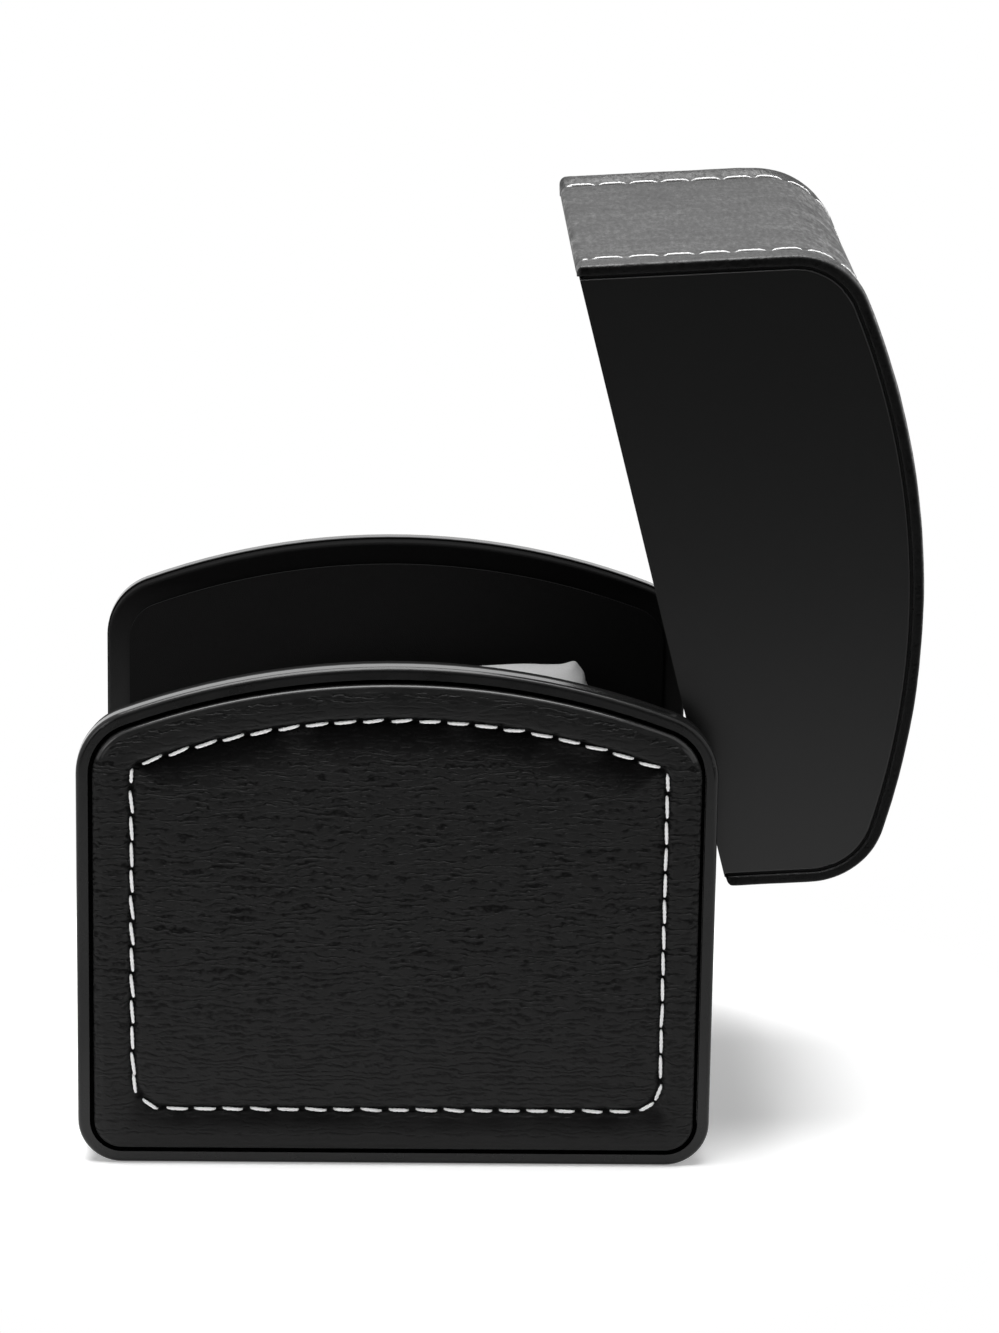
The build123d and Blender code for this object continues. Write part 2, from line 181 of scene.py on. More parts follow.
# Studio: a pale floor, a soft lamp overhead, and a black flag in front that shapes the dark gloss
studio = {
    "aim": (0, 0.01, 0.06),
    "lampPlace": (-0.05, -0.02, 0.75),
    "lampSize": 0.75,
    "lampPower": 12.8,
    "fillPlace": (0.9, -0.9, 0.5),
    "fillSize": 0.5,
    "fillPower": 1.6,
    "floorSize": 6.0,
    "paper": 0.9,
    "paperFibre": 0.98,
    "floorGlow": 0.3,
    "shadeReach": (0.065, 0.12),  # distances between which the lit paper turns into plain white
    "wallLight": 0.95,
    "wallEdge": (-0.6, 0.2),  # the room is pale behind the box and dim in front of it
    "roomLight": 0.05,
    "flagTone": 0.02,
    "flagNap": 1.2,
    "flagStart": 0.28,
    "flagReach": 1.4,
    "flagLift": 0.002,
    "flagBend": 0.1,
    "flagHeight": 1.2,
    "flagWidth": 1.6,
}


def addLamp(name, place, size, power, target):
    data = bpy.data.lights.new(name, "AREA")
    data.shape = "DISK"
    data.size = size
    data.energy = power
    lamp = bpy.data.objects.new(name, data)
    bpy.context.scene.collection.objects.link(lamp)
    lamp.location = place
    lamp.rotation_euler = (Vector(target) - Vector(place)).to_track_quat("-Z", "Y").to_euler()


def seenDirectly(finish):
    straight = finish.node("ShaderNodeLightPath", {}, {}, "Is Camera Ray")
    gloss = finish.node("ShaderNodeLightPath", {}, {}, "Is Glossy Ray")
    glass = finish.node("ShaderNodeLightPath", {}, {}, "Is Transmission Ray")
    return finish.calc("ADD", straight + gloss, glass, clamp=True)


def floorFinish():
    finish = newFinish("paleFloor")
    spot = finish.place()
    far = finish.node("ShaderNodeVectorMath", {"operation": "LENGTH"}, {0: spot}, "Value")
    seen = seenDirectly(finish)
    away = finish.spread(far, *studio["shadeReach"])
    fibre = finish.grain(spot, 3 * mm, 3.0)
    colour = finish.blendColour(fibre, grey(studio["paper"]), grey(studio["paperFibre"] * studio["paper"]))
    setShader(finish, {"Base Color": colour, "Roughness": 0.9, "Specular IOR Level": 0.1})
    glow = finish.node("ShaderNodeEmission", {}, {"Color": grey(1), "Strength": 1.0})
    lit = Signal(finish, finish.shader.outputs[0])
    faint = finish.node("ShaderNodeEmission", {}, {"Color": grey(1), "Strength": studio["floorGlow"]})
    near = finish.node("ShaderNodeAddShader", {}, {0: lit, 1: faint})
    shown = finish.node("ShaderNodeMixShader", {}, {0: away, 1: near, 2: glow})
    whole = finish.node("ShaderNodeMixShader", {}, {0: seen, 1: lit, 2: shown})
    finish.feed(finish.output.inputs["Surface"], whole)
    return finish.material


# Black cloth on the table and up behind the camera, as a product studio hangs it; the lens doesn't see it
def addFlag():
    finish = newFinish("flagCloth")
    nap = finish.grain(finish.place(), 2 * mm, 2.0)
    tone = studio["flagTone"]
    setShader(finish, {
        "Base Color": finish.blendColour(nap, grey(tone), grey(studio["flagNap"] * tone)),
        "Roughness": 1.0,
        "Specular IOR Level": 0.0,
    })
    form = bmesh.new()
    half = studio["flagWidth"] / 2
    start, bend = studio["flagStart"], studio["flagBend"]
    ends = [form.verts.new((start, side, studio["flagLift"])) for side in (-half, half)]
    edge = form.edges.new(ends)
    for step in ((studio["flagReach"] - start, 0, 0), (bend, 0, bend), (0, 0, studio["flagHeight"])):
        made = bmesh.ops.extrude_edge_only(form, edges=[edge])["geom"]
        edge = [part for part in made if isinstance(part, bmesh.types.BMEdge) and len(part.link_faces) == 1
                and all(vert in made for vert in part.verts)][0]
        bmesh.ops.translate(form, verts=edge.verts[:], vec=step)
    flag = meshObject("flag", form)
    flag.data.materials.append(finish.material)
    flag.visible_camera = False


def addStudio():
    scene = bpy.context.scene
    scene.view_settings.view_transform = "Standard"
    addLamp("softbox", studio["lampPlace"], studio["lampSize"], studio["lampPower"], studio["aim"])
    addLamp("fill", studio["fillPlace"], studio["fillSize"], studio["fillPower"], studio["aim"])
    form = bmesh.new()
    bmesh.ops.create_grid(form, x_segments=1, y_segments=1, size=studio["floorSize"] / 2)
    floor = meshObject("floor", form)
    floor.data.materials.append(floorFinish())
    addFlag()
    world = bpy.data.worlds.new("studio")
    scene.world = world
    world.use_nodes = True
    tree = world.node_tree
    finish = Finish(tree, tree.nodes["World Output"])
    backdrop = tree.nodes["Background"]
    way = finish.node("ShaderNodeTexCoord", {}, {}, "Generated")
    across = finish.node("ShaderNodeSeparateXYZ", {}, {0: way}, "X")
    room = finish.spread(across, *studio["wallEdge"], studio["wallLight"], studio["roomLight"])
    seen = seenDirectly(finish)
    strength = room + seen * (1 - room)
    finish.feed(backdrop.inputs["Color"], grey(1))
    finish.feed(backdrop.inputs["Strength"], strength)
    print("studio ready")


def meshObject(name, form):
    data = bpy.data.meshes.new(name)
    form.to_mesh(data)
    form.free()
    piece = bpy.data.objects.new(name, data)
    bpy.context.scene.collection.objects.link(piece)
    return piece


addCamera()
addStudio()


# Finishes
def inMetres(pair):
    return [distance * mm for distance in pair]


def matt(finish, tone, normal):
    values = {"Base Color": grey(tone), "Specular IOR Level": 0.02, "Roughness": 0.9, "Normal": normal}
    return finish.node("ShaderNodeBsdfPrincipled", {}, values)


def overlay(finish, share, second):
    first = Signal(finish, finish.shader.outputs[0])
    whole = finish.node("ShaderNodeMixShader", {}, {0: share, 1: first, 2: second})
    finish.feed(finish.output.inputs["Surface"], whole)


# The cheek's moulded shell: gloss plastic, polished except on its outer face, with a matt strip where
# it meets the inner cover. Both bounds are distances from the box's middle, in millimetres.
shell = {
    "polished": (44.1, 44.4),
    "polish": 0.6,
    "strip": (42.4, 42.6),
    "stripShare": 0.85,
    "stripTone": 0.006,
}


def glossPlastic():
    finish = newFinish("glossPlastic")
    spot = finish.place()
    wear = finish.grain(spot, 9 * mm, 4.0, 0.6)
    pores = finish.bump(finish.grain(spot, 0.5 * mm, 2.0), 0.008 * mm)
    across = finish.calc("ABSOLUTE", finish.node("ShaderNodeSeparateXYZ", {}, {0: spot}, "X"))
    setShader(finish, {
        "Specular IOR Level": 0.26,
        "Base Color": finish.blendColour(wear, grey(0.005), grey(0.010)),
        "Roughness": finish.spread(wear, 0.3, 0.7, 0.16, 0.26),
        "Coat Weight": finish.spread(across, *inMetres(shell["polished"]), shell["polish"], 0.0),
        "Coat Roughness": 0.12,
        "Normal": pores,
    })
    strip = finish.spread(across, *inMetres(shell["strip"]), shell["stripShare"], 0.0)
    overlay(finish, strip, matt(finish, shell["stripTone"], pores))
    return finish.material


# What both leathercloths share: mottling, and fine folds that run across them in wavering rows, each broken
# into short lengths, pressed in as bumps and painted dark as their shade. The sizes of sway, twitch and break are
# in distances between two rows.
grains = {
    "mottleSize": 6,
    "mottleStretch": (1, 0.5, 1),
    "mottleDepth": 0.12,
    "swaySize": 2.6,
    "sway": 3.2,
    "twitchSize": 0.8,
    "twitch": 1.2,
    "twitchStretch": (1, 0.6, 1),
    "breakSize": 0.95,
    "bottom": 0.02,
    "calmRise": (14, 36),  # millimetres along the rows' own axis, below which they lie calmer
}


def creaseRows(finish, look):
    fold = look["fold"]
    rise = finish.node("ShaderNodeSeparateXYZ", {}, {0: finish.place()}, look["rows"])
    sway = finish.grain(finish.place(look["stretch"]), grains["swaySize"] * fold * mm, 2.0)
    twitch = finish.grain(finish.place(grains["twitchStretch"]), grains["twitchSize"] * fold * mm, 1.0)
    wander = rise / (fold * mm) + sway * grains["sway"] + twitch * grains["twitch"]
    away = finish.calc("ABSOLUTE", finish.calc("FRACT", wander) - 0.5)
    breaks = finish.grain(finish.place(look["breaks"]), grains["breakSize"] * fold * mm, 2.0)
    lengths = finish.spread(breaks, look["breakLow"], look["breakHigh"])
    calm = finish.spread(rise, *inMetres(grains["calmRise"]), look["calm"], 1.0)
    return finish.spread(away, grains["bottom"], look["creaseWidth"], 1.0, 0.0) * lengths * calm


# Leathercloth: pores, flecks and creases, with painted shade: a dark matt coat laid into the creases and, on the
# pads, wherever their shade attribute is above 0. The attribute goes down to -1 where the creases are smoothed
# away, and -2 on a polished edge.
def leathercloth(name, look):
    finish = newFinish(name)
    pores = finish.cells(finish.place(), look["pore"] * mm)
    fleck = finish.grain(finish.place(look["fleckStretch"]), look["fleck"] * mm, 3.0, 0.65)
    mottle = finish.grain(finish.place(grains["mottleStretch"]), grains["mottleSize"] * mm, 3.0, 0.6)
    crease = creaseRows(finish, look)
    # painted shade in the creases
    shade = crease * look["creaseShade"]
    if "hollow" in look:
        hollow = finish.node("ShaderNodeAttribute", {"attribute_name": look["hollow"]}, {}, "Fac")
        crease = crease * finish.calc("ADD", hollow, 1.0, clamp=True)
        shade = finish.calc("MAXIMUM", crease * look["creaseShade"], hollow)
        finish.feed(finish.shader.inputs["Coat Weight"], finish.spread(hollow, *look["edgeGleam"], 0.0))
    if "rim" in look:
        across = finish.node("ShaderNodeSeparateXYZ", {}, {0: finish.place()}, "X")
        rim = finish.spread(finish.calc("ABSOLUTE", across), *inMetres(look["rim"]), 0.0, look["rimShade"])
        shade = finish.calc("MAXIMUM", shade, rim)
    height = finish.bump(pores, look["poreDepth"] * mm)
    height = finish.bump(fleck, look["fleckDepth"] * mm, height)
    height = finish.bump(mottle, grains["mottleDepth"] * mm, height)
    height = finish.bump(1 - crease, look["creaseDepth"] * mm, height)
    patchy = fleck * 0.6 + mottle * 0.4
    skin = setShader(finish, {
        "Specular IOR Level": look["shine"],
        "Base Color": finish.blendColour(mottle, grey(look["dark"]), grey(look["light"])),
        "Roughness": finish.spread(patchy, 0.35, 0.65, look["smooth"], look["rough"]),
        "Normal": height,
    })
    # the painted shade: a dark matt coat over the creases and the shaded parts
    overlay(finish, shade, matt(finish, look["gap"], height))
    return skin


# The cheek's inner cover: matt, and darker towards the arch
panelLook = {
    "darkens": (52, 74),  # heights in millimetres
    "speck": (0.020, 0.026),
    "darkest": 0.003,
    "roughness": 0.85,
    "shine": 0.03,
}


def panelWrap():
    finish = newFinish("panelWrap")
    spot = finish.place()
    speck = finish.grain(spot, 0.3 * mm, 4.0, 0.6)
    rise = finish.node("ShaderNodeSeparateXYZ", {}, {0: spot}, "Z")
    high = finish.spread(rise, *inMetres(panelLook["darkens"]))
    low = finish.blendColour(speck, *(grey(tone) for tone in panelLook["speck"]))
    return setShader(finish, {
        "Base Color": finish.blendColour(high, low, grey(panelLook["darkest"])),
        "Roughness": panelLook["roughness"],
        "Specular IOR Level": panelLook["shine"],
        "Normal": finish.bump(speck, 0.02 * mm),
    })


# An even finish: two tones in specks, whose size and depth are in millimetres
def plainFinish(name, dark, light, roughness, size, depth, specular=0.5):
    finish = newFinish(name)
    spot = finish.place()
    speck = finish.grain(spot, size * mm, 4.0, 0.6)
    return setShader(finish, {
        "Base Color": finish.blendColour(speck, dark, light),
        "Roughness": roughness,
        "Specular IOR Level": specular,
        "Normal": finish.bump(speck, depth * mm),
    })


leathers = {
    "pad": {
        "dark": 0.006,
        "light": 0.010,
        # gap: the tone of the painted shade in creases, holes and shaded parts
        "gap": 0.002,
        "shine": 0.15,
        "smooth": 0.40,
        "rough": 0.52,
        "pore": 0.45,
        "poreDepth": 0.03,
        "fleck": 0.5,
        "fleckDepth": 0.02,
        "fleckStretch": (1, 0.4, 1),
        "rows": "Z",
        "stretch": (1, 0.34, 1),
        "breaks": (1, 0.42, 1),
        "breakLow": 0.36,
        "breakHigh": 0.54,
        "fold": 1.0,
        "calm": 0.35,
        "creaseWidth": 0.38,
        "creaseDepth": 0.26,
        "creaseShade": 0.80,
        "hollow": "hollow",
        "edgeGleam": (-1.9, -1.2, 0.6),  # the attribute's bounds, and how much polish lies below them
    },
    "lid": {
        "dark": 0.005,
        "light": 0.011,
        # gap: the tone of the dark matt coat, painted shade in the creases, and the darker rim
        "gap": 0.002,
        "shine": 0.34,
        "smooth": 0.25,
        "rough": 0.68,
        "pore": 0.55,
        "poreDepth": 0.05,
        "fleck": 0.8,
        "fleckDepth": 0.09,
        "fleckStretch": (0.32, 1, 1),
        "rows": "X",
        "stretch": (1, 0.5, 0.5),
        "breaks": (1, 0.5, 0.5),
        "breakLow": 0.41,
        "breakHigh": 0.57,
        "fold": 2.4,
        "calm": 1.0,
        "creaseWidth": 0.12,
        "creaseDepth": 0.02,
        "creaseShade": 0.12,
        "rim": (38.05, 38.25),  # where the band turns over its edge, and shows darker
        "rimShade": 0.75,
    },
}
finishes = {
    "cheek_gloss": glossPlastic(),
    "cheek_leather": leathercloth("cheekLeather", leathers["pad"]),
    "lid_leather": leathercloth("lidLeather", leathers["lid"]),
    "lid_plate": plainFinish("plateCard", grey(0.003), grey(0.005), 0.36, 0.3, 0.01, 0.44),
    "flock": plainFinish("flockNap", grey(0.004), grey(0.008), 1.0, 0.2, 0.05, 0.1),
    "thread": plainFinish("whiteThread", grey(0.80), grey(0.92), 0.7, 0.12, 0.02),
    "lid_thread": plainFinish("lidThread", grey(0.54), grey(0.64), 0.8, 0.12, 0.02, 0.2),
    "cheek_panel": panelWrap(),
    # painted shade: the board is made near-black so that the grooves in which it shows look shaded
    "board": plainFinish("darkBoard", grey(0.004), grey(0.008), 0.9, 0.6, 0.04, 0.1),
    "foam": plainFinish("padFoam", (0.10, 0.10, 0.11), grey(0.2), 0.9, 0.5, 0.08),
    "felt": plainFinish("baseFelt", (0.008, 0.008, 0.009), grey(0.02), 0.98, 0.3, 0.08),
    "pillow_fabric": plainFinish("greyPlush", grey(0.23), grey(0.31), 0.9, 0.4, 0.08),
    "hinge_metal": plainFinish("blackenedSteel", grey(0.05), grey(0.09), 0.35, 0.4, 0.004),
    "screw_steel": plainFinish("screwSteel", grey(0.42), grey(0.55), 0.28, 0.3, 0.004),
}


def dressFrame():
    for part in frame["record"]["subparts"]:
        piece = nodes[part["node"]]
        piece.data.materials.clear()
        piece.data.materials.append(finishes[part["material_slot"]])
    print("finishes on", len(nodes), "nodes")


dressFrame()

# Outlines that the cheeks and the lid share, in millimetres, Y to the rear and Z up
outline = {
    "arch": 123.0,
    "cheekShoulder": 10.5,
    "lidShoulder": 12.2,
    "foot": 7.0,
    "partingTilt": 11.0,
    "partingRear": 49.17,
}
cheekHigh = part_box("cheek_shell_right")[1]
boxHeight = cheekHigh.z / mm
boxHalf = cheekHigh.y / mm
pin = Vector(joint["pos_m"])
openTurn = Matrix.Rotation(-math.radians(joint["range_deg"][1]), 4, "X")
opening = Matrix.Translation(pin) @ openTurn @ Matrix.Translation(-pin)


def linePoints(start, end, count):
    return [tuple(a + (b - a) * step / count for a, b in zip(start, end)) for step in range(count)]


def arcPoints(centre, radius, start, end, count):
    turns = [start + (end - start) * step / count for step in range(count)]
    return [(centre[0] + radius * math.cos(turn), centre[1] + radius * math.sin(turn)) for turn in turns]


def shoulderOf(half, shoulder, inset):
    centre = boxHeight - outline["arch"]
    across = half - shoulder
    high = centre + math.sqrt((outline["arch"] - inset - shoulder) ** 2 - across ** 2)
    return centre, across, high, math.atan2(across, high - centre)


def archedRing(inset, shoulder, foot, counts, lift, shift):
    half = boxHalf - inset
    low = inset + lift
    centre, across, high, lean = shoulderOf(half, shoulder, inset)
    quarter = math.pi / 2
    side, corner, arch, base, heel = counts
    ring = linePoints((-half, low + foot), (-half, high), side)
    ring += arcPoints((-across, high), shoulder, 2 * quarter, quarter + lean, corner)
    ring += arcPoints((0, centre), outline["arch"] - inset, quarter + lean, quarter - lean, arch)
    ring += arcPoints((across, high), shoulder, quarter - lean, 0, corner)
    ring += linePoints((half, high), (half, low + foot), side)
    ring += arcPoints((half - foot, low + foot), foot, 0, -quarter, heel)
    ring += linePoints((half - foot, low), (foot - half, low), base)
    ring += arcPoints((foot - half, low + foot), foot, -quarter, -2 * quarter, heel)
    return [(y + shift, z) for y, z in ring]


def measured(points, closed):
    loop = points + points[:1] if closed else points
    run = [0.0]
    for first, second in zip(loop, loop[1:]):
        run.append(run[-1] + math.dist(first, second))
    return loop, run


def along(loop, run, distance):
    distance = min(max(distance, 0.0), run[-1] - 1e-6)
    low, high = 0, len(run) - 1
    while high - low > 1:
        middle = (low + high) // 2
        low, high = (middle, high) if run[middle] <= distance else (low, middle)
    share = (distance - run[low]) / (run[high] - run[low])
    spot = tuple(a + (b - a) * share for a, b in zip(loop[low], loop[high]))
    way = Vector(loop[high]) - Vector(loop[low])
    return spot, way.normalized()


def extrudeRings(form, rings, hollows=None):
    spot = form.verts.layers.int.new("spot")
    # the pads' painted-shade attribute, which also holds the smoothing and polish below 0
    hollow = form.verts.layers.float.new("hollow")
    first = [form.verts.new(point) for point in rings[0]]
    for index, vert in enumerate(first):
        vert[spot] = index
        vert[hollow] = hollows[0][index] if hollows else 0
    edges = [form.edges.new(pair) for pair in zip(first, first[1:] + first[:1])]
    for step, ring in enumerate(rings[1:], 1):
        made = bmesh.ops.extrude_edge_only(form, edges=edges)["geom"]
        edges = [part for part in made if isinstance(part, bmesh.types.BMEdge)]
        for part in made:
            if isinstance(part, bmesh.types.BMVert):
                part.co = ring[part[spot]]
                part[hollow] = hollows[step][part[spot]] if hollows else 0
    return first, edges


def smoothly(piece):
    for face in piece.data.polygons:
        face.use_smooth = True


def finishPiece(piece, slotName, body):
    piece.data.materials.append(finishes[slotName])
    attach(piece, body)
    return piece


def ripple(seed, x, y, size):
    return noise.noise(Vector((x / size, y / size, seed)))


def quarterTurns(count):
    return [math.pi / 2 * step / count for step in range(count + 1)]


# The phase counts stitches along a seam, and the holes lie half-way between them
def dimple(phase, pitch, away, width):
    hole = abs(phase - round(phase - 0.5) - 0.5) * pitch
    return math.exp(-(hole / width) ** 2 - (away / width) ** 2)


# Seams: a twisted thread that dips into its holes, one short tube for each stitch
thread = {
    "width": 0.54,
    "flatness": 0.8,
    "ends": (0.55, 0.45),  # the width left at a stitch's end, and what is added towards its middle
    "stand": 0.3,  # share of the width above the channel's floor
    "floor": 0.6,  # share of the channel's depth at which the thread lies
    "rise": 0.08,
    "dive": 0.30,
    "lobe": 0.16,  # how far the twisted strands stand out of a round thread
    "twistPitch": 1.5,
    "sides": 10,
    "rings": 12,
}


def stitchRings(centre, way, out, length, bend):
    across = way.cross(out).normalized()
    narrow, widening = thread["ends"]
    rings = []
    for step in range(thread["rings"] + 1):
        share = 2 * step / thread["rings"] - 1
        fade = 1 - share ** 4
        reach = share * length / 2
        lift = thread["rise"] - (thread["rise"] + thread["dive"]) * abs(share) ** 5 - bend * share ** 2
        radius = thread["width"] / 2 * (narrow + widening * fade)
        twist = math.tau * reach / thread["twistPitch"]
        ring = []
        for side in range(thread["sides"]):
            turn = math.tau * side / thread["sides"]
            wide = radius * (1 + thread["lobe"] * math.cos(2 * (turn - twist)))
            high = lift + thread["flatness"] * wide * math.sin(turn)
            offset = across * (wide * math.cos(turn)) + out * high
            ring.append((centre + way * reach + offset) * mm)
        rings.append(ring)
    return rings


def addTube(form, rings):
    tube = bmesh.new()
    first = extrudeRings(tube, rings)[0]
    bmesh.ops.holes_fill(tube, edges=tube.edges, sides=len(first))
    bmesh.ops.recalc_face_normals(tube, faces=tube.faces)
    data = bpy.data.meshes.new("tube")
    tube.to_mesh(data)
    tube.free()
    form.from_mesh(data)
    bpy.data.meshes.remove(data)


def addStitch(form, centre, way, out, length, bend=0.0):
    addTube(form, stitchRings(centre, way, out, length, bend))


# Pads: leathercloth over foam, drawn down along the seam
pad = {
    "groove": 2.6,
    "proud": 0.85,
    "edgeRound": 0.8,
    "edgeRings": 6,
    "gleamHeight": 0.35,  # the edge is polished from here up, where it faces up by gleamFacing or more
    "gleamFacing": 0.4,
    "groovedBelow": -0.1,
    "skirt": ((-0.62, -0.75), (-0.5, -1.15), (-0.2, -1.3), (0.0, -1.0)),
    "seamInset": 5.75,
    "seamLift": 1.0,
    "seamDrift": 0.7,  # how far the seam bows to the rear at the front lower corner
    "driftRise": (20, 12),
    "driftReach": 40,
    "seamShift": 0.35,
    "cornerTop": 2.6,
    "cornerFoot": 4.6,
    "borderSwell": 0.34,
    "borderRound": 0.8,
    "channelDepth": 0.55,
    "channelWidth": 0.62,
    "crown": 0.45,
    "crownReach": 3.2,
    "pucker": 0.10,
    "puckerReach": 1.5,
    "puckerUneven": (0.6, 0.8, 7.0),  # least, what the noise adds, and its size
    "wrinkle": (0.10, 2.2, 1.6),  # height, squeeze along the seam, and size
    "holeDepth": 0.25,
    "holeWidth": 0.5,
    "waves": ((5, 0.07, 1.0, 11.0), (7, 0.05, 0.5, 2.4)),  # step of the seed, height, squeeze, and size
    # The ...Shade entries set painted shade: in the holes, the channel, under the top seam, and on the border's
    # top and foot
    "facing": (0.5, 0.35),  # where a side starts to count as the top or the foot, and the span to full
    "shadeUneven": (0.8, 0.5, 6.0),
    "holeShade": (0.95, 0.55),  # how dark, and how wide
    "channelShade": (0.5, 0.45),
    "fieldShade": (1.25, 0.97, 5.4),  # gain, how dark, and how far from the seam
    "footShade": (0.7, 1.3, 1.6),  # how dark, where, and how wide
    "headShade": (0.4, 1.7, 0.6),
    "leastShade": 0.08,
    "borderCalm": 0.8,
    "pitch": 4.4,
    "seamRun": 278.2,
    # for each side: the stitches, where the first one lies, their pitch and their slant
    "seamSides": ((12, 2.8, 4.34, -5), (20, 55.0, 4.42, -5), (12, 143.0, 4.33, 0), (20, 193.7, 4.42, 4)),
    "stitchLength": 3.3,
    "sideExtra": 0.5,
    "lengthSpread": 0.15,
    "slantSpread": 3,
    "cornerSpan": 1.6,
    "cornerShare": 1.3,
    "counts": (84, 22, 168, 160, 18),  # points on a side, a shoulder, the arch, the base and a foot
    "borderRings": 9,
    "channelRings": 12,
    "channelReach": 1.5,
    "fieldRings": 12,
    "fieldStep": 1.0,
    "centreRings": 18,
    "centreDrop": 1,
    "centreLeft": 0.2,
    "centreDepth": 25,
}


def seamDrift(y, z, share):
    below, span = pad["driftRise"]
    low = max((below - z) / span, 0) ** 1.5
    return low * pad["seamDrift"] * share * min(max(-y / pad["driftReach"], 0), 1) ** 3


def padOutline(depth):
    share = min(depth / pad["seamInset"], 1.0)
    inset = pad["groove"] + depth
    shoulder = outline["cheekShoulder"] - pad["groove"]
    foot = outline["foot"] - pad["groove"]
    shoulder += (pad["cornerTop"] - shoulder) * share
    foot += (pad["cornerFoot"] - foot) * share
    lift, shift = pad["seamLift"] * share, pad["seamShift"] * share
    ring = archedRing(inset, shoulder, foot, pad["counts"], lift, shift)
    return [(y + seamDrift(y, z, share), z) for y, z in ring]


def padDepths():
    side = list(pad["skirt"])
    bend = pad["edgeRound"]
    turns = quarterTurns(pad["edgeRings"])
    side += [(bend * (1 - math.cos(turn)), bend * (math.sin(turn) - 1) + pad["proud"]) for turn in turns]
    start = pad["seamInset"] - pad["channelReach"]
    depths = [depth for depth, height in side]
    edge = dict(enumerate(height for depth, height in side))
    rings = pad["borderRings"]
    depths += [bend + (start - bend) * (step + 1) / rings for step in range(rings)]
    span = 2 * pad["channelReach"]
    depths += [start + span * (step + 1) / pad["channelRings"] for step in range(pad["channelRings"])]
    depths += [depths[-1] + pad["fieldStep"] * (step + 1) for step in range(pad["fieldRings"])]
    return depths, edge


# The seam: its line, and where each stitch lies, side by side round the pad
def seamLine():
    loop, run = measured(padOutline(pad["seamInset"]), True)
    stretch = run[-1] / pad["seamRun"]
    middles = []
    for count, start, pitch, slant in pad["seamSides"]:
        middles += [(start + pitch * step) * stretch for step in range(count)]
    return loop, run, middles


def stitchPhase(middles, distance, total):
    index = bisect_right(middles, distance)
    before = middles[index - 1] if index else middles[-1] - total
    after = middles[index] if index < len(middles) else middles[0] + total
    return index + (distance - before) / (after - before)


def padRelief(depth, run, phase, place, seed):
    seam = pad["seamInset"]
    away = depth - seam
    height = pad["proud"] - pad["channelDepth"] * math.exp(-(away / pad["channelWidth"]) ** 2)
    if away < 0:
        across = min(max(depth / seam, 0), 1)
        height += pad["borderSwell"] * math.sin(math.pi * across) ** pad["borderRound"]
    else:
        height += pad["crown"] * (1 - math.exp(-away / pad["crownReach"]))
    least, more, size = pad["puckerUneven"]
    uneven = least + more * abs(ripple(seed, run, away, size))
    bite = math.exp(-abs(away) / pad["puckerReach"])
    height += pad["pucker"] * uneven * math.cos(math.tau * phase) * bite
    deep, squeeze, size = pad["wrinkle"]
    height += deep * bite * ripple(seed + 3, run * squeeze, away, size)
    height -= pad["holeDepth"] * dimple(phase, pad["pitch"], away, pad["holeWidth"])
    for step, deep, squeeze, size in pad["waves"]:
        height += deep * ripple(seed + step, place[0] * squeeze, place[1], size)
    return height


# The pad's shade attribute: painted shade in the holes and the channel, and on the field under the top seam and on
# parts of the border at the top and the foot, as if these lay in shade; below 0 where the border is stretched
# smooth at the top and the foot
def padPaintedShade(depth, phase, way, seed, place):
    away = depth - pad["seamInset"]
    share, width = pad["holeShade"]
    dark = share * dimple(phase, pad["pitch"], away, width)
    share, width = pad["channelShade"]
    dark = max(dark, share * math.exp(-(away / width) ** 2))
    start, span = pad["facing"]
    top = min(max((way[0] - start) / span, 0.0), 1.0)
    base = min(max((-way[0] - start) / span, 0.0), 1.0)
    least, more, size = pad["shadeUneven"]
    uneven = least + more * ripple(seed, place[0], place[1], size)
    if away > 0:
        gain, share, reach = pad["fieldShade"]
        dark = max(dark, top * min(gain * uneven, 1.0) * share * math.exp(-(away / reach) ** 3))
        return dark if dark > pad["leastShade"] else 0
    share, middle, width = pad["footShade"]
    dark = max(dark, base * uneven * share * math.exp(-((away + middle) / width) ** 2))
    share, middle, width = pad["headShade"]
    dark = max(dark, top * uneven * share * math.exp(-((depth - middle) / width) ** 2))
    return dark if dark > pad["leastShade"] else -pad["borderCalm"] * max(top, base)


def padRings(side, seed, front):
    loop, run, middles = seamLine()
    ways = [(Vector(after) - Vector(before)).normalized() for before, after in zip(loop, loop[1:])]
    phases = [stitchPhase(middles, distance, run[-1]) for distance in run]
    depths, edge = padDepths()
    middle = Vector((pad["seamShift"], boxHeight / 2 - pad["centreDrop"]))
    inner = padOutline(depths[-1])
    lines = [(depth, edge.get(index), padOutline(depth)) for index, depth in enumerate(depths)]
    for step in range(pad["centreRings"]):
        share = 1 - (step + 1) / (pad["centreRings"] + pad["centreLeft"])
        line = [tuple(middle + (Vector(place) - middle) * share) for place in inner]
        lines.append((depths[-1] + (1 - share) * pad["centreDepth"], None, line))
    rings, hollows = [], []
    for depth, level, line in lines:
        ring, hollow = [], []
        for spot, (y, z) in enumerate(line):
            height = level
            if height is None:
                height = padRelief(depth, run[spot], phases[spot], (y, z), seed)
            ring.append((side * (front + height) * mm, y * mm, z * mm))
            # painted shade, at full dark, where the pad's edge sinks into the groove
            if height < pad["groovedBelow"]:
                hollow.append(1.0)
            elif level and level > pad["gleamHeight"] and ways[spot].x > pad["gleamFacing"]:
                hollow.append(-2.0)
            else:
                hollow.append(padPaintedShade(depth, phases[spot], ways[spot], seed, (y, z)))
        rings.append(ring)
        hollows.append(hollow)
    return rings, hollows


